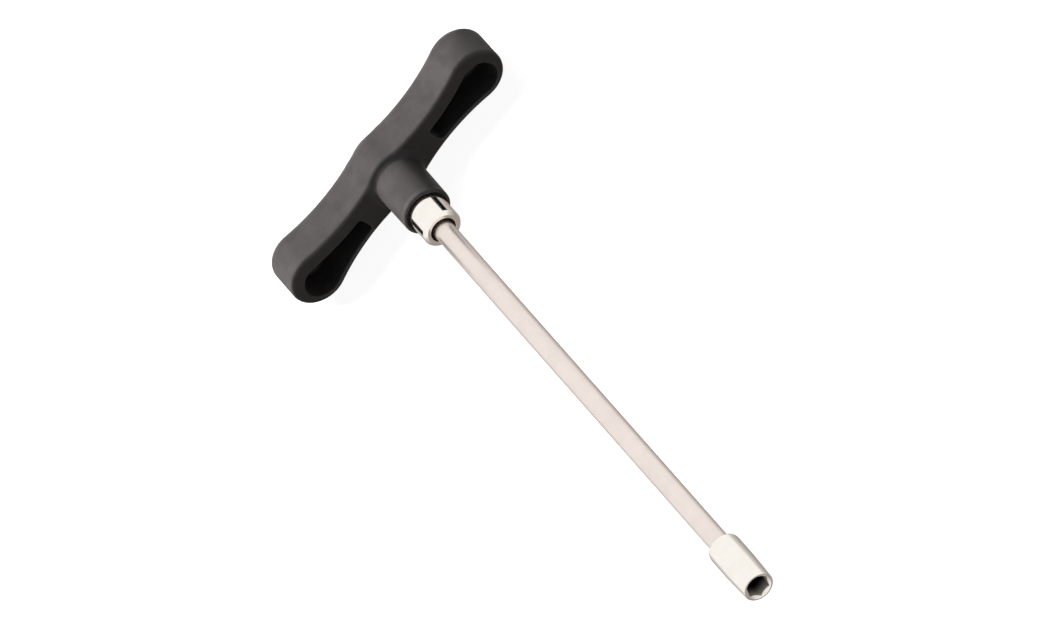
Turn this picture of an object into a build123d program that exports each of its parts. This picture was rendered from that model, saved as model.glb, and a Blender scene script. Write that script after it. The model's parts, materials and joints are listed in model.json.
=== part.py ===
from build123d import *
import math
import os

# T-handle torque wrench for hexagon-head screws, in millimetres.
# X runs along the handle's bar, +Y runs from the socket to the palm, +Z is up as the tool lies.
# The origin is on the shaft's axis, in the plane of the socket's mouth.

os.makedirs("parts", exist_ok=True)

# ---- driving dimensions ----
palm_y = 286.0              # overall length, from the socket's mouth to the palm face
bar_length = 115.2
bar_depth = 17.9            # underside to palm face
boss_length = 23.0
boss_dia = 19.4
sleeve_reach = 11.8         # how far the clutch sleeve stands out of the boss
sleeve_dia = 15.2
rod_dia = 7.94              # 5/16 in rod
screw_head_af = 7.94        # 5/16 in across flats

# ---- fits ----
hex_play = 0.06             # added across flats, so that the socket goes over the screw's head
running_gap = 0.03          # radial, rod in its bushes
ring_gap = 0.06             # radial, rings that turn or slide in the sleeve
ramp_gap = 0.05             # axial, between the two sets of ramp teeth
face_gap = 0.05             # axial, beside faces that turn against fixed ones
mouth_gap = 0.8             # radial, round the sleeve at the boss's mouth

# ---- handle ----
bulge_half = 10.5           # the bar's half width at its middle
bulge_radius = 12.8
waist_half = 7.9
lobe_half = 11.4            # radius of the bar's rounded ends
palm_rounding = 3.0
rim_rounding = 1.5
pocket_wall = 4.1
pocket_shift = 2.0          # the pockets lie this far below the bar's middle
pocket_start_x = 20.4
pocket_floor = 4.0          # left under the palm face
pocket_corner = 1.2
boss_root_radius = 3.4
boss_root_narrowing = 0.62  # the root's flare runs along the bar, not across it
boss_root_overlap = 0.2     # the flare starts this far inside the boss
boss_mouth_radius = 1.2
mouth_step = 2.0            # depth of the clearance round the sleeve

# ---- socket ----
socket_dia = 12.5
socket_mouth_dia = 11.6
socket_length = 26.3
socket_taper_length = 13.0
socket_shoulder_radius = 2.2
socket_mouth_chamfer = 0.4
hex_depth = 12.0
hex_lead_in = 0.6
rod_end_gap = 2.0           # between the rod's end and the hexagon's bottom
rod_chamfer = 0.6

# ---- clutch sleeve ----
sleeve_wall = 1.3
sleeve_lip = 1.4
lip_hole_dia = 10.0
sleeve_chamfer = 1.3
lug_count = 4
lug_width = 2.4
lug_height = 0.65
rib_count = 6               # outside ribs that lock the sleeve in the plastic
rib_width = 1.6
rib_height = 0.6
rib_length = 20.0

# ---- clutch ----
race_thickness = 1.0
ball_dia = 1.4
ball_count = 14
ball_play = 0.05
cage_thickness = 0.8
bush_chamfer = 0.3
cam_length = 5.0
cam_pin_dia = 2.0
cam_pin_sink = 0.2          # the pin's ends stop this far below the ring's rim
tooth_count = 12
tooth_height = 1.5
ramp_stock = 2.0            # depth of the block under each ramp, before it is trimmed
drive_length = 5.0
backlash_deg = 1.0
washer_thickness = 1.2
disc_pairs = 8              # disc springs, nested in twos, the twos back to back
disc_thickness = 0.6
disc_cone = 0.35            # free height of the cone, beyond the disc's thickness
disc_gap = 0.02             # axial, between neighbouring discs
disc_inner_dia = 6.3
tail_dia = 6.0
tail_clearance = 0.3
tail_bush_wall = 1.0
adjuster_length = 4.0
lock_length = 2.4
cap_gap = 0.3
spanner_hole_dia = 1.2
palm_cap_thickness = 3.0
palm_cap_rim = 1.2          # the cap is wider than the sleeve by this much, all round
palm_cap_rounding = 0.5

# ---- places along the shaft, worked out from the above ----
underside_y = palm_y - bar_depth
rib_y = underside_y - rib_length / 2
boss_mouth_y = underside_y - boss_length
sleeve_y = boss_mouth_y - sleeve_reach
sleeve_end_y = palm_y - palm_cap_thickness
bore_r = sleeve_dia / 2 - sleeve_wall
rod_r = rod_dia / 2
lip_y = sleeve_y + sleeve_lip
seal_wire_r = (bore_r - rod_r - running_gap) / 2
seal_r = bore_r - seal_wire_r
seal_y = lip_y + seal_wire_r
bush_y = seal_y + seal_wire_r + face_gap
lock_y = sleeve_end_y - cap_gap - lock_length
adjuster_y = lock_y - adjuster_length
spring_end_y = adjuster_y - washer_thickness
pair_height = 2 * (disc_thickness + disc_gap) + disc_cone
spring_y = spring_end_y - disc_pairs * pair_height
seat_y = spring_y - washer_thickness
ramp_top_y = seat_y - drive_length - ramp_gap
ramp_y = ramp_top_y - tooth_height
cam_y = ramp_y - cam_length
upper_race_y = cam_y - race_thickness
balls_y = upper_race_y - ball_dia - 2 * ball_play
lower_race_y = balls_y - race_thickness
bush_length = lower_race_y - bush_y    # the bush takes up what the stack leaves
tail_end_y = lock_y + lock_length / 2
bar_half = bar_length / 2
lobe_x = bar_half - lobe_half
ring_r = bore_r - ring_gap
rod_start_y = hex_depth + rod_end_gap
hex_af = screw_head_af + hex_play
hex_corner_r = hex_af / 2 / math.cos(math.radians(30))


def across(y):
    """The plane square to the shaft at this y, facing the palm, with its x along the bar."""
    return Plane(origin=(0, y, 0), x_dir=(1, 0, 0), z_dir=(0, 1, 0))


def around_shaft(count):
    """Places evenly spaced round the shaft's axis, for whole parts."""
    return [Rotation(0, 360 / count * turn, 0) for turn in range(count)]


# the pin that locks the cam ring lies along X
cam_pin_place = Location((0, cam_y + cam_length / 2, 0), (0, 90, 0))


# ---- outline of the bar: three arcs in a quarter, each tangent to the next ----
def waist_place(bulge_rise, lobe_rise):
    """How far along the bar the waist's arc is narrowest, so that it touches the bulge and the lobe.

    The rises are how far the bulge's and the lobe's circles reach out beyond the waist.
    """
    a = lobe_rise - bulge_rise
    b = 2 * bulge_rise * lobe_x
    c = bulge_rise * (lobe_rise * (2 * lobe_half - 2 * bulge_radius - a) - lobe_x**2)
    return -2 * c / (b + math.sqrt(b**2 - 4 * a * c))


def point_towards(start, target, distance):
    """The point at this distance from start, on the line to target."""
    span = math.dist(start, target)
    return tuple(s + (t - s) * distance / span for s, t in zip(start, target))


bulge_centre = (0.0, bulge_half - bulge_radius)
lobe_centre = (lobe_x, 0.0)
bulge_rise = bulge_half - waist_half
waist_x = waist_place(bulge_rise, lobe_half - waist_half)
waist_radius = (waist_x**2 / bulge_rise + bulge_rise) / 2 - bulge_radius
waist_centre = (waist_x, waist_half + waist_radius)
bulge_to_waist = point_towards(bulge_centre, waist_centre, bulge_radius)
waist_to_lobe = point_towards(waist_centre, lobe_centre, waist_radius)

with BuildSketch(Plane.XY) as bar_outline:
    with BuildLine():
        ThreePointArc((0, bulge_half), point_towards(
            bulge_centre, (bulge_to_waist[0] / 2, bulge_half), bulge_radius), bulge_to_waist)
        ThreePointArc(bulge_to_waist, (waist_x, waist_half), waist_to_lobe)
        ThreePointArc(waist_to_lobe, point_towards(
            lobe_centre, (bar_half, lobe_half), lobe_half), (bar_half, 0))
        Line((bar_half, 0), (0, 0))
        Line((0, 0), (0, bulge_half))
    make_face()
    mirror(about=Plane.XZ)
    mirror(about=Plane.YZ)

with BuildSketch(Plane.XY) as pocket_outline:
    add(bar_outline.sketch)
    offset(amount=-pocket_wall, mode=Mode.REPLACE)
    Rectangle(2 * pocket_start_x, 4 * lobe_half, mode=Mode.SUBTRACT)
    fillet(pocket_outline.vertices().group_by(lambda v: round(abs(v.X), 2))[0], pocket_corner)

# ---- handle ----
with BuildPart() as boss_root:
    with BuildSketch(Plane.XY):
        with BuildLine():
            Polyline(
                (boss_dia / 2 - boss_root_overlap, underside_y - boss_root_radius),
                (0, underside_y - boss_root_radius),
                (0, underside_y + rim_rounding),
                (boss_dia / 2 + boss_root_radius, underside_y + rim_rounding),
                (boss_dia / 2 + boss_root_radius, underside_y),
            )
            RadiusArc(
                (boss_dia / 2 + boss_root_radius, underside_y),
                (boss_dia / 2 - boss_root_overlap, underside_y - boss_root_radius),
                boss_root_radius,
            )
        make_face()
    revolve(axis=Axis.Y)
    scale(by=(1, 1, boss_root_narrowing))

with BuildPart() as handle:
    with BuildSketch(across(underside_y)):
        add(bar_outline.sketch)
    extrude(amount=bar_depth)
    fillet(handle.edges().group_by(Axis.Y)[-1], palm_rounding)
    fillet(handle.edges().group_by(Axis.Y)[0], rim_rounding)
    with BuildSketch(across(boss_mouth_y)):
        Circle(boss_dia / 2)
    extrude(amount=boss_length + rim_rounding)
    add(boss_root.part)
    fillet(handle.edges().group_by(Axis.Y)[0], boss_mouth_radius)
    with BuildSketch(across(underside_y - boss_root_radius)):
        with Locations((0, pocket_shift)):
            add(pocket_outline.sketch)
    extrude(amount=boss_root_radius + bar_depth - pocket_floor, mode=Mode.SUBTRACT)
    with BuildSketch(across(boss_mouth_y)):
        Circle(sleeve_dia / 2)
    extrude(amount=palm_y - boss_mouth_y, mode=Mode.SUBTRACT)
    with BuildSketch(across(boss_mouth_y)):
        Circle(sleeve_dia / 2 + mouth_gap)
    extrude(amount=mouth_step, mode=Mode.SUBTRACT)
    with BuildSketch(across(sleeve_end_y)):
        Circle(sleeve_dia / 2 + palm_cap_rim)
    extrude(amount=palm_cap_thickness, mode=Mode.SUBTRACT)
    with BuildSketch(across(rib_y)):
        with PolarLocations(sleeve_dia / 2, rib_count):
            Rectangle(2 * rib_height, rib_width)
    extrude(amount=rib_length, mode=Mode.SUBTRACT)
handle.part.label = "handle"
export_step(handle.part, "parts/handle.step")

with BuildPart() as palm_cap:
    with BuildSketch(across(sleeve_end_y)):
        Circle(sleeve_dia / 2 + palm_cap_rim)
    extrude(amount=palm_cap_thickness)
    fillet(palm_cap.edges().group_by(Axis.Y)[-1], palm_cap_rounding)
palm_cap.part.label = "palm_cap"
export_step(palm_cap.part, "parts/palm_cap.step")

# ---- clutch sleeve ----
with BuildPart() as clutch_housing:
    with BuildSketch(across(sleeve_y)):
        Circle(sleeve_dia / 2)
    extrude(amount=sleeve_end_y - sleeve_y)
    chamfer(clutch_housing.edges().group_by(Axis.Y)[0], sleeve_chamfer)
    with BuildSketch(across(rib_y)):
        with PolarLocations(sleeve_dia / 2, rib_count):
            Rectangle(2 * rib_height, rib_width)
    extrude(amount=rib_length)
    with BuildSketch(across(sleeve_y)):
        Circle(lip_hole_dia / 2)
    extrude(amount=sleeve_lip, mode=Mode.SUBTRACT)
    with BuildSketch(across(lip_y)):
        Circle(bore_r)
    extrude(amount=sleeve_end_y - lip_y, mode=Mode.SUBTRACT)
    with BuildSketch(across(ramp_y)):
        with PolarLocations(bore_r, lug_count):
            Rectangle(2 * (lug_height + ring_gap), lug_width + 2 * ring_gap)
    extrude(amount=sleeve_end_y - ramp_y, mode=Mode.SUBTRACT)
clutch_housing.part.label = "clutch_housing"
export_step(clutch_housing.part, "parts/clutch_housing.step")

with BuildPart() as shaft_seal:
    with BuildSketch(Plane.XY):
        with Locations((seal_r, seal_y)):
            Circle(seal_wire_r)
    revolve(axis=Axis.Y)
shaft_seal.part.label = "shaft_seal"
export_step(shaft_seal.part, "parts/shaft_seal.step")


def ring(y, length, outer_r, inner_r):
    """A plain ring round the shaft's axis."""
    with BuildPart() as plain:
        with BuildSketch(across(y)):
            Circle(outer_r)
            Circle(inner_r, mode=Mode.SUBTRACT)
        extrude(amount=length)
    return plain.part


with BuildPart() as shaft_bush:
    add(ring(bush_y, bush_length, bore_r, rod_r + running_gap))
    chamfer(shaft_bush.edges().group_by(Axis.Y)[0].sort_by(SortBy.RADIUS)[-1], bush_chamfer)
shaft_bush.part.label = "shaft_bush"
export_step(shaft_bush.part, "parts/shaft_bush.step")

# ---- thrust bearing ----
with BuildPart() as lower_race:
    add(ring(lower_race_y, race_thickness, bore_r, rod_r + ring_gap))
lower_race.part.label = "lower_race"
export_step(lower_race.part, "parts/lower_race.step")

ball_circle_r = (bore_r + rod_r) / 2
with BuildPart() as thrust_balls:
    with Locations(across(balls_y + ball_play + ball_dia / 2)):
        with PolarLocations(ball_circle_r, ball_count):
            Sphere(ball_dia / 2)
thrust_balls.part.label = "thrust_balls"
export_step(thrust_balls.part, "parts/thrust_balls.step")

cage_y = balls_y + ball_play + (ball_dia - cage_thickness) / 2
with BuildPart() as ball_cage:
    with BuildSketch(across(cage_y)):
        Circle(ring_r)
        Circle(rod_r + ring_gap, mode=Mode.SUBTRACT)
        with PolarLocations(ball_circle_r, ball_count):
            Circle(ball_dia / 2 + ball_play, mode=Mode.SUBTRACT)
    extrude(amount=cage_thickness)
ball_cage.part.label = "ball_cage"
export_step(ball_cage.part, "parts/ball_cage.step")

with BuildPart() as upper_race:
    add(ring(upper_race_y, race_thickness, ring_r, rod_r))
upper_race.part.label = "upper_race"
export_step(upper_race.part, "parts/upper_race.step")

# ---- ramp teeth: one helical ramp, then the two rings that it shapes ----
ramp_mid_r = (ring_r + rod_r) / 2
ramp_width = 2 * (ring_r - rod_r)
with BuildPart() as ramp:
    with BuildLine():
        rise = Helix(
            pitch=tooth_height * tooth_count,
            height=tooth_height,
            radius=ramp_mid_r,
            center=(0, ramp_y, 0),
            direction=(0, 1, 0),
            lefthand=True,
        )
    with BuildSketch(Plane(origin=rise @ 0, x_dir=(rise @ 0) - Vector(0, ramp_y, 0), z_dir=rise % 0)):
        Rectangle(ramp_width, ramp_stock, align=(Align.CENTER, Align.MAX))
    sweep(is_frenet=True)

with BuildPart() as cam_ring:
    for place in around_shaft(tooth_count):
        add(place * ramp.part)
    with BuildSketch(across(cam_y)):
        Circle(ring_r)
    extrude(amount=ramp_top_y - cam_y, mode=Mode.INTERSECT)
    with BuildSketch(across(cam_y)):
        Circle(ring_r)
    extrude(amount=cam_length)
    with BuildSketch(across(cam_y)):
        Circle(rod_r)
    extrude(amount=ramp_top_y - cam_y, mode=Mode.SUBTRACT)
    with Locations(cam_pin_place):
        Cylinder(cam_pin_dia / 2, 2 * bore_r, mode=Mode.SUBTRACT)
cam_ring.part.label = "cam_ring"
export_step(cam_ring.part, "parts/cam_ring.step")

with BuildPart() as cam_pin:
    with Locations(cam_pin_place):
        Cylinder(cam_pin_dia / 2, 2 * (ring_r - cam_pin_sink))
cam_pin.part.label = "cam_pin"
export_step(cam_pin.part, "parts/cam_pin.step")

with BuildPart() as drive_ring:
    with BuildSketch(across(ramp_y + ramp_gap)):
        Circle(ring_r)
        Circle(rod_r, mode=Mode.SUBTRACT)
    extrude(amount=seat_y - ramp_y - ramp_gap)
    for place in around_shaft(tooth_count):
        for turn in (0, -backlash_deg):
            add(Pos(0, ramp_gap, 0) * place * Rotation(0, turn, 0) * ramp.part, mode=Mode.SUBTRACT)
    with BuildSketch(across(ramp_top_y + ramp_gap)):
        with PolarLocations(ring_r, lug_count):
            Rectangle(2 * (bore_r + lug_height - ring_r), lug_width)
    extrude(amount=drive_length)
drive_ring.part.label = "drive_ring"
export_step(drive_ring.part, "parts/drive_ring.step")

# ---- disc springs, between two washers ----
with BuildPart() as spring_seat:
    add(ring(seat_y, washer_thickness, ring_r, tail_dia / 2 + tail_clearance))
spring_seat.part.label = "spring_seat"
export_step(spring_seat.part, "parts/spring_seat.step")

with BuildPart() as spring_cap:
    add(ring(spring_end_y, washer_thickness, ring_r, tail_dia / 2 + tail_clearance))
spring_cap.part.label = "spring_cap"
export_step(spring_cap.part, "parts/spring_cap.step")

with BuildPart() as disc_springs:
    for pair in range(disc_pairs):
        low_y = spring_y + pair * pair_height
        inner_rise, outer_rise = (disc_cone, 0) if pair % 2 else (0, disc_cone)
        for disc in range(2):
            face_y = low_y + disc * (disc_thickness + disc_gap)
            with BuildSketch(Plane.XY):
                with BuildLine():
                    Polyline(
                        (disc_inner_dia / 2, face_y + inner_rise),
                        (ring_r - ring_gap, face_y + outer_rise),
                        (ring_r - ring_gap, face_y + outer_rise + disc_thickness),
                        (disc_inner_dia / 2, face_y + inner_rise + disc_thickness),
                        close=True,
                    )
                make_face()
            revolve(axis=Axis.Y)
disc_springs.part.label = "disc_springs"
export_step(disc_springs.part, "parts/disc_springs.step")

# ---- adjuster, locked in the sleeve's open end ----
tail_bush_r = tail_dia / 2 + running_gap + tail_bush_wall


def threaded_ring(y, length, inner_r):
    """A ring that fills the sleeve's bore, with two holes for a pin spanner in its outer face."""
    spanner_r = (bore_r + inner_r) / 2
    with BuildPart() as threaded:
        add(ring(y, length, bore_r, inner_r))
        with BuildSketch(across(y + length / 2)):
            with PolarLocations(spanner_r, 2):
                Circle(spanner_hole_dia / 2)
        extrude(amount=length / 2, mode=Mode.SUBTRACT)
    return threaded.part


with BuildPart() as adjuster_screw:
    add(threaded_ring(adjuster_y, adjuster_length, tail_bush_r))
adjuster_screw.part.label = "adjuster_screw"
export_step(adjuster_screw.part, "parts/adjuster_screw.step")

with BuildPart() as lock_ring:
    add(threaded_ring(lock_y, lock_length, tail_dia / 2 + tail_clearance))
lock_ring.part.label = "lock_ring"
export_step(lock_ring.part, "parts/lock_ring.step")

with BuildPart() as tail_bush:
    add(ring(adjuster_y, adjuster_length, tail_bush_r, tail_dia / 2 + running_gap))
tail_bush.part.label = "tail_bush"
export_step(tail_bush.part, "parts/tail_bush.step")

# ---- shaft and socket ----
with BuildPart() as shaft:
    with BuildSketch(across(rod_start_y)):
        Circle(rod_r)
    extrude(amount=ramp_y - rod_start_y)
    chamfer(shaft.edges().group_by(Axis.Y)[0], rod_chamfer)
    with BuildSketch(across(ramp_y)):
        Circle(tail_dia / 2)
    extrude(amount=tail_end_y - ramp_y)
    chamfer(shaft.edges().group_by(Axis.Y)[-1], rod_chamfer)
    with Locations(cam_pin_place):
        Cylinder(cam_pin_dia / 2, 2 * bore_r, mode=Mode.SUBTRACT)
shaft.part.label = "shaft"
export_step(shaft.part, "parts/shaft.step")

with BuildPart() as hex_socket:
    with BuildSketch(Plane.XY):
        with BuildLine():
            Polyline(
                (0, socket_length),
                (0, 0),
                (socket_mouth_dia / 2 - socket_mouth_chamfer, 0),
                (socket_mouth_dia / 2, socket_mouth_chamfer),
                (socket_dia / 2, socket_taper_length),
                (socket_dia / 2, socket_length - socket_shoulder_radius),
            )
            RadiusArc(
                (socket_dia / 2, socket_length - socket_shoulder_radius),
                (socket_dia / 2 - socket_shoulder_radius, socket_length),
                -socket_shoulder_radius,
            )
            Line((socket_dia / 2 - socket_shoulder_radius, socket_length), (0, socket_length))
        make_face()
    revolve(axis=Axis.Y)
    with BuildSketch(across(0)):
        RegularPolygon(hex_af / 2, 6, major_radius=False)
    extrude(amount=hex_depth, mode=Mode.SUBTRACT)
    with BuildSketch(across(0)):
        Circle(hex_corner_r + hex_lead_in / 2)
    extrude(amount=hex_lead_in * 2, taper=45, mode=Mode.SUBTRACT)
    with BuildSketch(across(hex_depth)):
        Circle(rod_r)
    extrude(amount=socket_length - hex_depth, mode=Mode.SUBTRACT)
hex_socket.part.label = "hex_socket"
export_step(hex_socket.part, "parts/hex_socket.step")
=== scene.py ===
import json
import math

import bmesh
import bpy
import numpy as np
from mathutils import Matrix, Vector


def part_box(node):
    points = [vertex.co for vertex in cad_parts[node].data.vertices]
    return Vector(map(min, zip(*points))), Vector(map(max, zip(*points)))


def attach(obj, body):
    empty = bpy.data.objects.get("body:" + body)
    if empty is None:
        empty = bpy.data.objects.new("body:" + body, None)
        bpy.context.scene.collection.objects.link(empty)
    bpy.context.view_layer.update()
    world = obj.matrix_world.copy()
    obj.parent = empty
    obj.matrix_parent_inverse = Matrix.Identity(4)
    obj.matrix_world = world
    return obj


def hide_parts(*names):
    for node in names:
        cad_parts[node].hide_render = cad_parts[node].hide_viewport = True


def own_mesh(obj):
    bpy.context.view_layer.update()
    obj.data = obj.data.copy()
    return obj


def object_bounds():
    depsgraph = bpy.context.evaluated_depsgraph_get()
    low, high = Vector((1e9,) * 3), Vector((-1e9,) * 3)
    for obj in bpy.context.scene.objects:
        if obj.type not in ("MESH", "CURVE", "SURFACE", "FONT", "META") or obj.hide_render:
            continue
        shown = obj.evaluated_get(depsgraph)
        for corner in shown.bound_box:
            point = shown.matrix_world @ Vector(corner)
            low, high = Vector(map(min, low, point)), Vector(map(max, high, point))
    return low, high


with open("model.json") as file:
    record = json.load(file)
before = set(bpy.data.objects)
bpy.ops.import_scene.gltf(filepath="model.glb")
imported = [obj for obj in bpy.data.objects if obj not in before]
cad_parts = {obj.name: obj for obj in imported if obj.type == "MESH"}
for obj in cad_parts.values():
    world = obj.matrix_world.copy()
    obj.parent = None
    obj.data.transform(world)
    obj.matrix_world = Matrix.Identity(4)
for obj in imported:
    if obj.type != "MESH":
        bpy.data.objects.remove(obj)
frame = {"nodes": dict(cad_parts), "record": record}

cad_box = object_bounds()
MM = 0.001
GRID, QUICK_GRID = 0.42, 0.9    # spacing of the handle's mesh, in millimetres
# reach of the bend mask behind edge wear and painted shade in hollows
WEAR_AND_SHADE_REACH = 1.0

# ---- sizes read from the frame, in millimetres ----


def span(node):
    """A CAD node's lowest and highest corner, in millimetres."""
    low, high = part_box(node)
    return [c / MM for c in low], [c / MM for c in high]


handle_low, handle_high = span("handle")
sleeve_low, sleeve_high = span("clutch_housing")
shaft_low, shaft_high = span("shaft")
_, socket_high = span("hex_socket")
cap_low, cap_high = span("palm_cap")
_, cam_high = span("cam_ring")
_, race_high = span("lower_race")
spring_low, spring_high = span("disc_springs")

palm_y = handle_high[1]
boss_mouth_y = handle_low[1]
bar_half = handle_high[0]
sleeve_y, sleeve_end_y = sleeve_low[1], sleeve_high[1]
sleeve_r = sleeve_high[2]
bore_r = race_high[2]       # the lower race fills the sleeve's bore
rod_r = shaft_high[0]
rod_y, rod_end_y = shaft_low[1], shaft_high[1]
rod_step_y = cam_high[1] - 1.5
socket_r, socket_end_y = socket_high[0], socket_high[1]
cap_r = cap_high[0]
cap_y = cap_low[1]
disc_r = spring_high[0]
spring_y = spring_low[1]

# ---- the handle's own sizes, in millimetres ----
bar_depth = 17.9
underside_y = palm_y - bar_depth
boss_r = 9.7
boss_mouth_r = 9.5          # the boss narrows towards its mouth, for the mould
bulge_half = 10.5
bulge_radius = 12.8
waist_half = 7.9
lobe_half = 11.4
palm_rounding = 3.0
rim_rounding = 1.5
pocket_wall = 4.1
pocket_shift = 2.0
pocket_start_x = 20.4
pocket_floor_y = palm_y - 4.0
pocket_corner = 1.4
pocket_floor_rounding = 2.0
pocket_lip = 0.7
pocket_draft = math.tan(math.radians(1.5))
boss_root_along = 3.4       # fillet between boss and bar, along the bar and across it
boss_root_across = 0.3
boss_mouth_rounding = 1.2
mouth_gap = 0.8
mouth_step = 2.0
cap_groove = 0.3
root_shade_reach = 2.5            # how far the painted shade in the boss's root spreads

# ---- the other pieces' own sizes, in millimetres ----
sleeve_chamfer = 1.3
sleeve_lip = 1.4
lip_hole_r = 5.0
edge_break = 0.2            # small rounding on turned steel edges
rod_chamfer = 0.6
tail_r = 3.0
cap_gap = 0.15
cap_rounding = 0.5
socket_mouth_r = 5.8
socket_taper_y = 13.0
shoulder_rounding = 2.2
taper_rounding = 3.0
mouth_rounding = 0.45
hex_flat_r = 4.0
hex_depth = 12.0
lead_in_r = 4.95
lead_in_end_y = 1.6
lead_in_slope = 0.95
lead_in_first_y, lead_in_step_y, lead_in_steps = 0.08, 0.14, 9
drill_r, drill_depth = 3.3, 1.95    # the drilled hole beyond the hexagon
bore_shade_fade = 4.5          # how far into the hexagon the painted shade takes to reach full dark, past the plating's shine
disc_pairs = 8
disc_thickness = 0.6
disc_cone = 0.35
disc_gap = 0.02
disc_inner_r = 3.15
pair_height = 2 * (disc_thickness + disc_gap) + disc_cone

# ---- small helpers ----


def from_mesh(name, points, faces, smooth=True):
    """A mesh object from points in millimetres."""
    mesh = bpy.data.meshes.new(name)
    mesh.from_pydata((np.asarray(points, float) * MM).tolist(), [], [list(f) for f in faces])
    mesh.validate()
    mesh.update()
    obj = bpy.data.objects.new(name, mesh)
    bpy.context.scene.collection.objects.link(obj)
    if smooth:
        mesh.shade_smooth()
    return obj


def rounded(corners, steps=6):
    """A profile from (r, y, rounding) corners, with each rounding drawn as an arc."""
    line = []
    for n, (r, y, rounding) in enumerate(corners):
        if not rounding:
            line.append((r, y))
            continue
        here = Vector((r, y))
        before = (Vector(corners[n - 1][:2]) - here).normalized()
        after = (Vector(corners[n + 1][:2]) - here).normalized()
        half = before.angle(after) / 2
        reach = rounding / math.tan(half)
        centre = here + (before + after).normalized() * rounding / math.sin(half)
        start = here + before * reach - centre
        end = here + after * reach - centre
        turn = start.angle_signed(end)
        for step in range(steps + 1):
            spin = Matrix.Rotation(-turn * step / steps, 2)
            line.append(tuple(centre + spin @ start))
    return line


def lathe(name, *profiles, segments=128, smooth=True):
    """Closed solids turned round the shaft's axis. Each profile runs once round its (r, y) section."""
    points, faces = [], []
    for profile in profiles:
        rings = []
        for r, y in profile:
            if r < 1e-6:
                rings.append([len(points)] * segments)
                points.append((0, y, 0))
                continue
            rings.append(list(range(len(points), len(points) + segments)))
            for n in range(segments):
                angle = 2 * math.pi * n / segments
                points.append((r * math.cos(angle), y, r * math.sin(angle)))
        on_axis = profile[0][0] < 1e-6
        pairs = list(zip(rings, rings[1:])) + ([] if on_axis else [(rings[-1], rings[0])])
        for a, b in pairs:
            for n in range(segments):
                m = (n + 1) % segments
                face = [a[n], a[m], b[m], b[n]]
                face = [v for i, v in enumerate(face) if v != face[i - 1]]
                if len(face) > 2:
                    faces.append(face)
    return from_mesh(name, points, faces, smooth)


# ---- signed distances, in millimetres: negative inside ----
def outline_distance(x, z):
    """Distance to the bar's wavy outline, from the arc whose sector holds each point."""
    x, z = np.abs(x), np.abs(z)
    bulge_rise, lobe_rise = bulge_half - waist_half, lobe_half - waist_half
    lobe_x = bar_half - lobe_half
    a = lobe_rise - bulge_rise
    b = 2 * bulge_rise * lobe_x
    c = bulge_rise * (lobe_rise * (2 * lobe_half - 2 * bulge_radius - a) - lobe_x**2)
    waist_x = -2 * c / (b + math.sqrt(b**2 - 4 * a * c))
    waist_radius = (waist_x**2 / bulge_rise + bulge_rise) / 2 - bulge_radius
    bulge = (0.0, bulge_half - bulge_radius)
    waist = (waist_x, waist_half + waist_radius)
    lobe = (lobe_x, 0.0)

    def beyond(start, end):
        """True on the side of the line from start to end that lies towards the bar's end."""
        return (end[0] - start[0]) * (z - start[1]) - (end[1] - start[1]) * (x - start[0]) < 0

    past_bulge = beyond(bulge, waist)
    past_waist = beyond(lobe, waist)
    best = np.full(x.shape, 1e3)
    sectors = (
        (~past_bulge, np.hypot(x - bulge[0], z - bulge[1]) - bulge_radius),
        (past_bulge & ~past_waist, waist_radius - np.hypot(x - waist[0], z - waist[1])),
        (past_waist, np.hypot(x - lobe[0], z) - lobe_half),
    )
    for inside, distance in sectors:
        best = np.where(inside & (np.abs(distance) < np.abs(best)), distance, best)
    return best


def round_union(a, b, radius):
    """Two solids joined with a fillet of this radius."""
    u, v = np.maximum(radius - a, 0), np.maximum(radius - b, 0)
    return np.maximum(radius, np.minimum(a, b)) - np.hypot(u, v)


def round_cut(a, b, radius):
    """Solid a without solid b, its new edges rounded to this radius."""
    return round_common(a, -b, radius)


def round_common(a, b, radius):
    """What two solids share, its edges rounded to this radius."""
    u, v = np.maximum(radius + a, 0), np.maximum(radius + b, 0)
    return np.minimum(-radius, np.maximum(a, b)) + np.hypot(u, v)


def handle_distance(x, y, z):
    """The moulded handle: bar, boss, two pockets, the sleeve's bore and the cap's recess."""
    outline = outline_distance(x, z)
    bar = round_common(outline, y - palm_y, palm_rounding)
    bar = round_common(bar, underside_y - y, rim_rounding)
    radius = np.hypot(x, z)
    taper = np.clip((y - boss_mouth_y) / (underside_y - boss_mouth_y), 0, 1)
    boss_side = radius - boss_mouth_r - (boss_r - boss_mouth_r) * taper
    boss = round_common(boss_side, boss_mouth_y - y, boss_mouth_rounding)
    boss = np.maximum(boss, y - palm_y + palm_rounding)
    side = np.clip((np.abs(x) / np.maximum(radius, 1e-6) - 0.35) / 0.5, 0, 1)
    root = boss_root_across + (boss_root_along - boss_root_across) * side**2 * (3 - 2 * side)
    body = round_union(bar, boss, root)
    depth = y - underside_y
    wall = outline_distance(x, z + pocket_shift) + pocket_wall
    wall = wall + np.clip(depth, 0, bar_depth) * pocket_draft
    pocket = round_common(wall, pocket_start_x - np.abs(x), pocket_corner)
    pocket = round_common(pocket, y - pocket_floor_y, pocket_floor_rounding)
    body = round_cut(body, pocket, pocket_lip)
    bore = radius - (sleeve_r + mouth_gap)
    body = round_cut(body, np.maximum(bore, y - boss_mouth_y - mouth_step), 0.4)
    body = np.maximum(body, -(radius - sleeve_r))
    recess = np.maximum(radius - cap_r, cap_y - y)
    return round_cut(body, recess, cap_groove)


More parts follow.
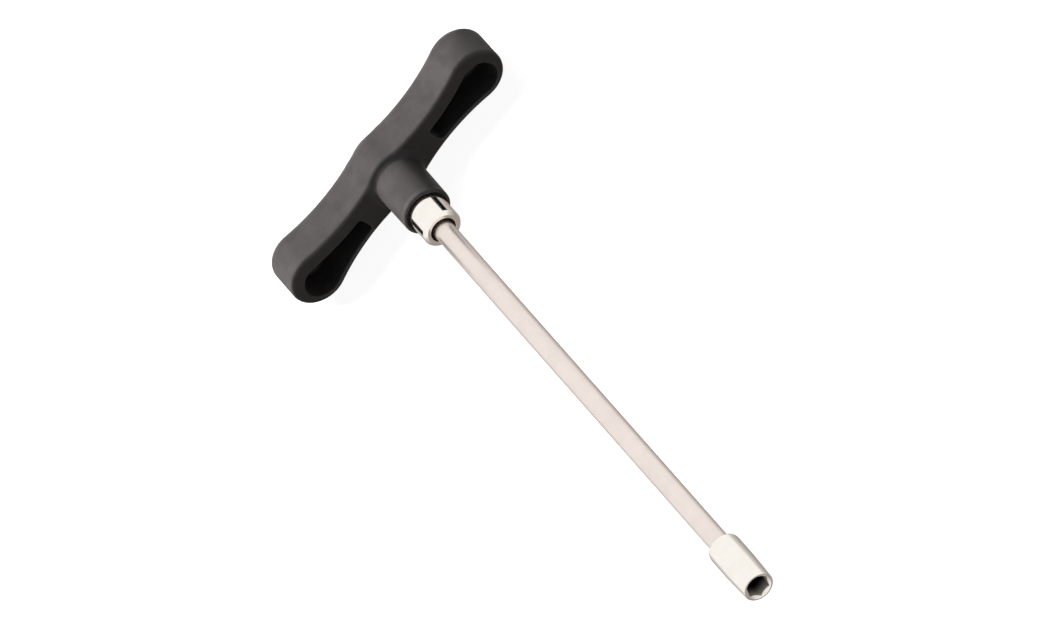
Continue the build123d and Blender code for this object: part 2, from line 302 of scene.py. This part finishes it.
def surface_net(distance, low, high, step):
    """A quad mesh of the surface where distance is 0, pulled on to it."""
    axes = [np.arange(a, b + step, step) for a, b in zip(low, high)]
    grid = np.meshgrid(*axes, indexing="ij")
    value = distance(*grid)
    inside = value < 0
    shape = np.array(value.shape) - 1
    total = np.zeros((*shape, 3))
    count = np.zeros(shape)
    corner = [slice(0, -1), slice(1, None)]
    for axis in range(3):
        for first in (0, 1):
            for second in (0, 1):
                near = [corner[first], corner[second]]
                near.insert(axis, corner[0])
                far = list(near)
                far[axis] = corner[1]
                a, b = value[tuple(near)], value[tuple(far)]
                cross = (a < 0) != (b < 0)
                share = np.where(cross, a / np.where(cross, a - b, 1), 0)
                offset = [float(first), float(second)]
                offset.insert(axis, 0.0)
                for n in range(3):
                    total[..., n] += np.where(cross, share if n == axis else offset[n], 0)
                count += cross
    cells = count > 0
    number = np.full(shape, -1)
    number[cells] = np.arange(cells.sum())
    points = np.argwhere(cells) + total[cells] / count[cells][:, None]
    points = points * step + np.array([a[0] for a in axes])
    faces = []
    for axis in range(3):
        near = [slice(1, -1)] * 3
        near[axis] = slice(0, -1)
        far = list(near)
        far[axis] = slice(1, None)
        a, b = inside[tuple(near)], inside[tuple(far)]
        u, v = [n for n in range(3) if n != axis]
        for leaving in (True, False):
            at = np.argwhere(a & ~b if leaving else b & ~a)
            at += np.array([0 if n == axis else 1 for n in range(3)])
            ring = []
            for du, dv in ((-1, -1), (0, -1), (0, 0), (-1, 0)):
                cell = at.copy()
                cell[:, u] += du
                cell[:, v] += dv
                ring.append(number[tuple(cell.T)])
            quads = np.stack(ring, 1)
            faces.append(quads if leaving == (axis != 1) else quads[:, ::-1])
    small = step * 0.05
    for _ in range(3):
        here = distance(*points.T)
        slope = np.stack([
            (distance(*(points + move).T) - distance(*(points - move).T)) / (2 * small)
            for move in np.eye(3) * small
        ], 1)
        size = np.maximum((slope**2).sum(1), 0.25)
        points = points - slope * np.clip(here / size, -step, step)[:, None]
    return points, np.concatenate(faces)


def wear_and_hollow_shade(distance, points, reach):
    """1 on outside corners, 0.5 on flats and 0 in hollows: how far the surface bends within reach. It
    drives edge wear and painted shade in hollows.
    """
    around = sum(distance(*(points + way * reach).T) for way in np.vstack([np.eye(3), -np.eye(3)]))
    return np.clip(0.5 + around / (6 * reach), 0, 1)


def boss_root_shade(points):
    """Mask for painted shade: 1 in the corner where the boss meets the bar, falling to 0 some way off."""
    x, y, z = points.T
    from_boss = np.hypot(x, z) - boss_r
    from_bar = underside_y - y
    return np.clip(1.15 - np.hypot(from_boss, from_bar) / root_shade_reach, 0, 1)


# ---- pieces ----
def make_handle():
    step = GRID
    low = np.array(handle_low) - 1.5 * step
    high = np.array(handle_high) + 2.5 * step
    points, faces = surface_net(handle_distance, low, high, step)
    points = np.clip(points, handle_low, handle_high)
    obj = from_mesh("handle_moulding", points, faces)
    # how the surface bends: lighter wear on edges, painted shade in hollows
    wear_and_shade_mask = obj.data.attributes.new("wear_and_hollow_shade", "FLOAT", "POINT")
    wear_and_shade_mask.data.foreach_set("value", wear_and_hollow_shade(handle_distance, points, WEAR_AND_SHADE_REACH).astype(np.float32))
    # painted shade: a mask for darkening the corner where the boss meets the bar
    root = obj.data.attributes.new("root", "FLOAT", "POINT")
    root.data.foreach_set("value", boss_root_shade(points).astype(np.float32))
    return obj


def add_bore_shade(obj, depth):
    """A point attribute for painted shade: 0 on the plated outsides, rising to 1 deep inside a bore. depth
    takes (r, y) in mm.
    """
    points = [v.co / MM for v in obj.data.vertices]
    values = [min(1.0, max(0.0, depth(math.hypot(p.x, p.z), p.y))) for p in points]
    obj.data.attributes.new("depth", "FLOAT", "POINT").data.foreach_set("value", values)
    return obj


def socket_bore_shade(r, y):
    # painted shade inside the hexagon, darker with depth
    inside = 0.05 < y < hex_depth + 2 and r < lead_in_r - 0.2
    return max(0.05, (y - lead_in_end_y) / bore_shade_fade) if inside else 0


def sleeve_bore_shade(r, y):
    # painted shade inside the sleeve, behind its lip
    return 1 if r < lip_hole_r + 0.1 and y > sleeve_y + 0.6 else 0


def make_sleeve():
    profile = rounded([
        (lip_hole_r, sleeve_y + sleeve_lip, 0),
        (lip_hole_r, sleeve_y, edge_break),
        (sleeve_r - sleeve_chamfer, sleeve_y, 0.25),
        (sleeve_r, sleeve_y + sleeve_chamfer, 0.3),
        (sleeve_r, sleeve_end_y, edge_break),
        (bore_r, sleeve_end_y, edge_break),
        (bore_r, sleeve_y + sleeve_lip, 0),
    ])
    return add_bore_shade(lathe("sleeve", profile), sleeve_bore_shade)


def make_rod():
    profile = rounded([
        (0, rod_y, 0),
        (rod_r, rod_y, rod_chamfer),
        (rod_r, rod_step_y, edge_break),
        (tail_r, rod_step_y, 0),
        (tail_r, rod_end_y, rod_chamfer / 2),
        (0, rod_end_y, 0),
    ])
    return lathe("rod", profile)


def make_cap():
    profile = rounded([
        (0, cap_y, 0),
        (cap_r - cap_gap, cap_y, 0),
        (cap_r - cap_gap, palm_y, cap_rounding),
        (0, palm_y, 0),
    ])
    return lathe("cap", profile)


def make_springs():
    """Coned discs, nested in twos, the twos back to back."""
    sections = []
    for pair in range(disc_pairs):
        inner_rise, outer_rise = (disc_cone, 0) if pair % 2 else (0, disc_cone)
        for disc in range(2):
            y = spring_y + pair * pair_height + disc * (disc_thickness + disc_gap)
            sections.append([
                (disc_inner_r, y + inner_rise),
                (disc_r, y + outer_rise),
                (disc_r, y + outer_rise + disc_thickness),
                (disc_inner_r, y + inner_rise + disc_thickness),
            ])
    return lathe("springs", *sections, segments=64, smooth=False)


def make_socket():
    """Turned outside, hexagonal inside. Each ring has one radius, or one for each angle."""
    segments = 144
    angles = np.arange(segments) * 2 * math.pi / segments
    from_flat = (angles % (math.pi / 3)) - math.pi / 6
    hexagon = hex_flat_r / np.cos(from_flat)
    outside = rounded([
        (rod_r, socket_end_y, 0),
        (socket_r, socket_end_y, shoulder_rounding),
        (socket_r, socket_taper_y, taper_rounding),
        (socket_mouth_r, 0, mouth_rounding),
        (lead_in_r, 0, 0.12),
        (lead_in_r - 1.2, lead_in_end_y, 0),
    ])
    rings = [(np.full(segments, r), y) for r, y in outside[:-1]]
    for step in range(lead_in_steps):
        y = lead_in_first_y + step * lead_in_step_y
        rings.append((np.maximum(hexagon, lead_in_r - 0.05 - y * lead_in_slope), y))
    for y in (2.5, 6.0, hex_depth - 0.3, hex_depth):
        rings.append((hexagon, y))
    rings += [(np.full(segments, r), hex_depth) for r in (drill_r + 0.3, drill_r)]
    rings += [(np.full(segments, r), hex_depth + drill_depth - 0.05) for r in (drill_r - 0.1, 0.6)]
    points, faces = [], []
    for r, y in rings:
        points += [(a * math.cos(t), y, a * math.sin(t)) for a, t in zip(r, angles)]
    points.append((0, hex_depth + drill_depth, 0))
    for k in range(len(rings) - 1):
        for n in range(segments):
            m = (n + 1) % segments
            a, b = k * segments, (k + 1) * segments
            faces.append((a + m, a + n, b + n, b + m))
    last = (len(rings) - 1) * segments
    faces += [(last + (n + 1) % segments, last + n, len(points) - 1) for n in range(segments)]
    seat = len(points)
    points.append((0, socket_end_y, 0))
    faces += [(n, (n + 1) % segments, seat) for n in range(segments)]
    return add_bore_shade(from_mesh("socket", points, faces), socket_bore_shade)


# ---- materials ----
SOCKETS = {
    "metallic": "Metallic",
    "roughness": "Roughness",
    "emission_strength": "Emission Strength",
    "specular": "Specular IOR Level",
}


class Shader:
    """A Principled material and a few ways of adding nodes to it. Coordinates are in millimetres."""

    def __init__(self, name, **constants):
        self.material = bpy.data.materials.new(name)
        self.material.use_nodes = True
        self.tree = self.material.node_tree
        self.main = self.tree.nodes["Principled BSDF"]
        for socket, value in constants.items():
            self.main.inputs[SOCKETS[socket]].default_value = value
        self.bumps = []

    def node(self, kind, links=(), **settings):
        made = self.tree.nodes.new("ShaderNode" + kind)
        for key, value in settings.items():
            setattr(made, key, value)
        for socket, value in dict(links).items():
            if isinstance(value, bpy.types.NodeSocket):
                self.tree.links.new(value, made.inputs[socket])
            else:
                made.inputs[socket].default_value = value
        return made

    def place(self, stretch=(1, 1, 1)):
        """Object coordinates in millimetres, stretched along each axis."""
        start = self.node("TexCoord").outputs["Object"]
        scale = [k / MM for k in stretch]
        return self.node("Mapping", {"Vector": start, "Scale": scale}).outputs["Vector"]

    def noise(self, per_mm, stretch=(1, 1, 1), detail=3.0, rough=0.55, twist=0.0):
        links = {
            "Vector": self.place(stretch), "Scale": per_mm, "Detail": detail,
            "Roughness": rough, "Distortion": twist,
        }
        return self.node("TexNoise", links).outputs["Fac"]

    def spread(self, value, low, high, to_low=0.0, to_high=1.0):
        """value from low to high mapped on to to_low to to_high, held at the ends."""
        links = {"Value": value, 1: low, 2: high, 3: to_low, 4: to_high}
        return self.node("MapRange", links, clamp=True).outputs["Result"]

    def mix(self, share, first, second):
        made = self.node("Mix", {0: share}, data_type="RGBA")
        for socket, value in ((made.inputs[6], first), (made.inputs[7], second)):
            if isinstance(value, bpy.types.NodeSocket):
                self.tree.links.new(value, socket)
            else:
                socket.default_value = (*value, 1)
        return made.outputs[2]

    def math(self, operation, *values):
        made = self.node("Math", operation=operation)
        for socket, value in zip(made.inputs, values):
            if isinstance(value, bpy.types.NodeSocket):
                self.tree.links.new(value, socket)
            else:
                socket.default_value = value
        return made.outputs[0]

    def drive(self, socket, value):
        self.tree.links.new(value, self.main.inputs[socket])

    def bump(self, height, depth_mm, strength=1.0):
        """Adds a bump of this real depth on top of those added before."""
        links = {"Height": height, "Distance": depth_mm * MM, "Strength": strength}
        if self.bumps:
            links["Normal"] = self.bumps[-1]
        self.bumps.append(self.node("Bump", links).outputs["Normal"])
        self.tree.links.new(self.bumps[-1], self.main.inputs["Normal"])


def moulded_plastic(name, dark, light, rough, grain_mm=0.28, worn_and_shaded=False):
    """Charcoal plastic with a fine moulded grain, faint mottling and, if asked, polished edges where
    handled, painted shade in hollows and painted shade in the boss's root.
    """
    s = Shader(name, specular=0.3)
    mottle = s.noise(0.12, detail=4, twist=0.6)
    speck = s.noise(1.6, detail=2)
    tone = s.spread(s.math("ADD", mottle, s.math("MULTIPLY", speck, 0.35)), 0.5, 0.85)
    color = s.mix(tone, dark, light)
    grip = s.spread(s.noise(0.25, detail=5), 0.35, 0.7, rough - 0.05, rough + 0.07)
    if worn_and_shaded:
        edge = s.node("Attribute", attribute_name="wear_and_hollow_shade").outputs["Fac"]
        rubbed = s.math("MULTIPLY", s.spread(edge, 0.53, 0.68), s.spread(mottle, 0.3, 0.6, 0.45, 1.0))
        hollow_shade = s.spread(edge, 0.47, 0.34)
        color = s.mix(s.math("MULTIPLY", rubbed, 0.35), color, [min(1, c * 2.1) for c in light])
        # painted shade: hollows darkened to half the dark tone
        color = s.mix(s.math("MULTIPLY", hollow_shade, 0.45), color, [c * 0.5 for c in dark])
        root = s.node("Attribute", attribute_name="root").outputs["Fac"]
        # painted shade: a dark band in the corner where the boss meets the bar, colour standing in for the
        # shade there
        color = s.mix(s.math("MULTIPLY", s.spread(root, 0.1, 0.75), 0.92), color, [c * 0.12 for c in dark])
        grip = s.math("SUBTRACT", grip, s.math("MULTIPLY", rubbed, 0.12))
    s.drive("Base Color", color)
    s.drive("Roughness", grip)
    s.bump(s.noise(1 / grain_mm, detail=2, rough=0.6), 0.018, 0.8)
    s.bump(s.noise(0.09, detail=1), 0.25, 0.25)
    return s.material


def metal(name, color, rough, lines, depth_mm, per_mm=1.0, tarnish=0.12, shaded_inside=False):
    """Metal with fine machining lines: lines stretches the noise, so the lines run along its small axis."""
    s = Shader(name, metallic=1.0)
    streak = s.noise(per_mm, lines, detail=4, rough=0.6)
    cloud = s.noise(0.16, detail=4, twist=0.4)
    speck = s.noise(1.1, detail=2)
    shade = s.mix(s.spread(cloud, 0.4, 0.75), color, [c * (1 - tarnish) for c in color])
    shade = s.mix(s.spread(streak, 0.45, 0.75, 0, 0.35), shade, [c * 0.86 for c in color])
    base = s.spread(streak, 0.3, 0.7, rough - 0.035, rough + 0.045)
    blotch = s.spread(s.math("ADD", cloud, s.math("MULTIPLY", speck, 0.3)), 0.5, 0.9, 0, 0.06)
    finish = s.math("ADD", base, blotch)
    if shaded_inside:
        # painted shade: deep inside a bore the colour is darkened almost to black
        depth = s.node("Attribute", attribute_name="depth").outputs["Fac"]
        shade = s.mix(s.spread(depth, 0.1, 1.0), shade, (0.02, 0.018, 0.017))
        finish = s.math("ADD", finish, s.spread(depth, 0.0, 0.05, 0, 0.4))
    s.drive("Base Color", shade)
    s.drive("Roughness", finish)
    s.bump(streak, depth_mm, 0.6)
    s.bump(s.noise(0.05, detail=1), 0.05, 0.2)
    return s.material


TURNED = (0.02, 7.0, 0.02)
DRAWN = (5.0, 0.012, 5.0)
EVEN = (1.0, 1.0, 1.0)

materials = {
    "handle_plastic": moulded_plastic(
        "charcoal_plastic", (0.050, 0.0455, 0.045), (0.071, 0.064, 0.063), 0.50, worn_and_shaded=True),
    "cap_plastic": moulded_plastic("cap_plastic", (0.028, 0.026, 0.026), (0.042, 0.039, 0.039), 0.42),
    "bright_plate": metal("bright_nickel", (0.96, 0.915, 0.85), 0.09, TURNED, 0.0008, tarnish=0.05,
        shaded_inside=True),
    "satin_nickel": metal("satin_nickel", (0.88, 0.79, 0.735), 0.31, DRAWN, 0.0014, tarnish=0.06),
    "hard_steel": metal("ground_steel", (0.46, 0.45, 0.44), 0.24, TURNED, 0.001),
    "spring_steel": metal("phosphated_steel", (0.16, 0.16, 0.17), 0.42, EVEN, 0.003, per_mm=3.0),
    "black_steel": metal("black_oxide", (0.06, 0.06, 0.065), 0.34, TURNED, 0.001),
    "bronze": metal("sintered_bronze", (0.62, 0.42, 0.21), 0.36, EVEN, 0.004, per_mm=4.0),
    "seal_rubber": moulded_plastic("seal_rubber", (0.012, 0.012, 0.012), (0.02, 0.02, 0.02), 0.6),
}

slot_of = {part["node"]: part["material_slot"] for part in frame["record"]["subparts"]}
for node, obj in frame["nodes"].items():
    obj.data.materials.clear()
    obj.data.materials.append(materials[slot_of[node]])


def settle(obj, node, body):
    """obj stands for a CAD node: same body, same slot, same finish."""
    obj.data.materials.append(materials[slot_of[node]])
    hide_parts(node)
    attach(obj, body)


settle(make_handle(), "handle", "handle")
settle(make_cap(), "palm_cap", "handle")
settle(make_sleeve(), "clutch_housing", "handle")
settle(make_rod(), "shaft", "shaft")
settle(make_socket(), "hex_socket", "shaft")

# the disc springs, which close up by the drive ring's lift, get a mesh of their own
springs = make_springs()
settle(springs, "disc_springs", "handle")
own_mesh(springs)

# ---- camera, nearly parallel, rolled as the tool is held up to it ----
AZIMUTH, ELEVATION, ROLL = math.radians(14.4), math.radians(43.75), math.radians(-61.8)
DISTANCE = 6.0
FIELD = 0.3677              # metres across the picture at the tool
FRAMING = (-0.0154, 0.0198)  # where the tool's middle lies from the picture's middle: right, up


def point_camera():
    az, el = AZIMUTH, ELEVATION
    back = Vector((math.sin(az) * math.cos(el), -math.cos(az) * math.cos(el), math.sin(el)))
    level = Vector((math.cos(az), math.sin(az), 0))
    rise = back.cross(level)
    right = level * math.cos(ROLL) + rise * math.sin(ROLL)
    up = back.cross(right)
    low, high = cad_box
    aim = (low + high) / 2 + right * FRAMING[0] + up * FRAMING[1]
    data = bpy.data.cameras.new("camera")
    data.lens = data.sensor_width * DISTANCE / FIELD
    data.clip_start, data.clip_end = 1, 100
    camera = bpy.data.objects.new("camera", data)
    bpy.context.scene.collection.objects.link(camera)
    turn = Matrix((right, up, back)).transposed().to_4x4()
    camera.matrix_world = Matrix.Translation(aim + back * DISTANCE) @ turn
    bpy.context.scene.camera = camera


# ---- floor, surroundings and light ----
FLOOR_SIZE = 6.0            # metres from the middle to each edge
FLOOR_DROP = 0.0002
FLOOR_TONE = (0.35, 0.35, 0.35)
FLOOR_GLOW = 0.93
SHELL_RADIUS = 60.0
TABLE_TONE = (0.36, 0.33, 0.31)
HORIZON_TONE = (0.62, 0.60, 0.58)
SKY_TONE = (1.0, 1.0, 1.0)
TABLE_BAND = (-0.66, -0.34)     # heights on the shell, as a share of its radius
HORIZON_BAND = (-0.30, -0.05)
WORLD_STRENGTH = 0.07


def area_light(name, place, size, watts):
    """A soft square light at this place, in metres, turned to the tool's handle."""
    data = bpy.data.lights.new(name, "AREA")
    data.size = size
    data.energy = watts
    light = bpy.data.objects.new(name, data)
    bpy.context.scene.collection.objects.link(light)
    low, high = cad_box
    target = Vector((0, high.y * 0.7, 0))
    light.location = place
    light.visible_glossy = False
    light.rotation_euler = (target - light.location).to_track_quat("-Z", "Y").to_euler()


def make_floor():
    low, high = cad_box
    mesh = bpy.data.meshes.new("floor")
    sides = ((-1, -1), (1, -1), (1, 1), (-1, 1))
    corners = [(x * FLOOR_SIZE, y * FLOOR_SIZE, low.z - FLOOR_DROP) for x, y in sides]
    mesh.from_pydata(corners, [], [(0, 1, 2, 3)])
    floor = bpy.data.objects.new("floor", mesh)
    bpy.context.scene.collection.objects.link(floor)
    s = Shader("pale_floor", roughness=0.9, emission_strength=FLOOR_GLOW)
    s.main.inputs["Base Color"].default_value = (*FLOOR_TONE, 1)
    s.main.inputs["Emission Color"].default_value = (1, 1, 1, 1)
    s.main.inputs["Specular IOR Level"].default_value = 0
    mesh.materials.append(s.material)
    floor.visible_diffuse = False
    floor.visible_glossy = False


def make_surroundings():
    """A wide shell for the metal to reflect: white above, a dark horizon and a grey table below."""
    mesh = bpy.data.meshes.new("surroundings")
    grid = bmesh.new()
    bmesh.ops.create_uvsphere(grid, u_segments=64, v_segments=48, radius=SHELL_RADIUS)
    grid.to_mesh(mesh)
    grid.free()
    shell = bpy.data.objects.new("surroundings", mesh)
    bpy.context.scene.collection.objects.link(shell)
    s = Shader("surroundings", roughness=1.0, emission_strength=1.0)
    s.main.inputs["Base Color"].default_value = (0, 0, 0, 1)
    s.main.inputs["Specular IOR Level"].default_value = 0
    start = s.node("TexCoord").outputs["Object"]
    height = s.node("SeparateXYZ", {"Vector": start}).outputs["Z"]
    height = s.math("DIVIDE", height, SHELL_RADIUS)
    below = s.mix(s.spread(height, *TABLE_BAND), TABLE_TONE, HORIZON_TONE)
    s.drive("Emission Color", s.mix(s.spread(height, *HORIZON_BAND), below, SKY_TONE))
    mesh.materials.append(s.material)
    shell.visible_diffuse = False
    shell.visible_shadow = False


point_camera()
make_floor()
make_surroundings()
area_light("key", (-0.80, 1.35, 1.2), 0.7, 72)
area_light("fill", (0.3, 1.4, 1.2), 0.9, 7)

world = bpy.data.worlds.new("studio")
world.use_nodes = True
bpy.context.scene.world = world
background = world.node_tree.nodes["Background"]
background.inputs["Color"].default_value = (1, 1, 1, 1)
background.inputs["Strength"].default_value = WORLD_STRENGTH
bpy.context.scene.view_settings.view_transform = "Standard"
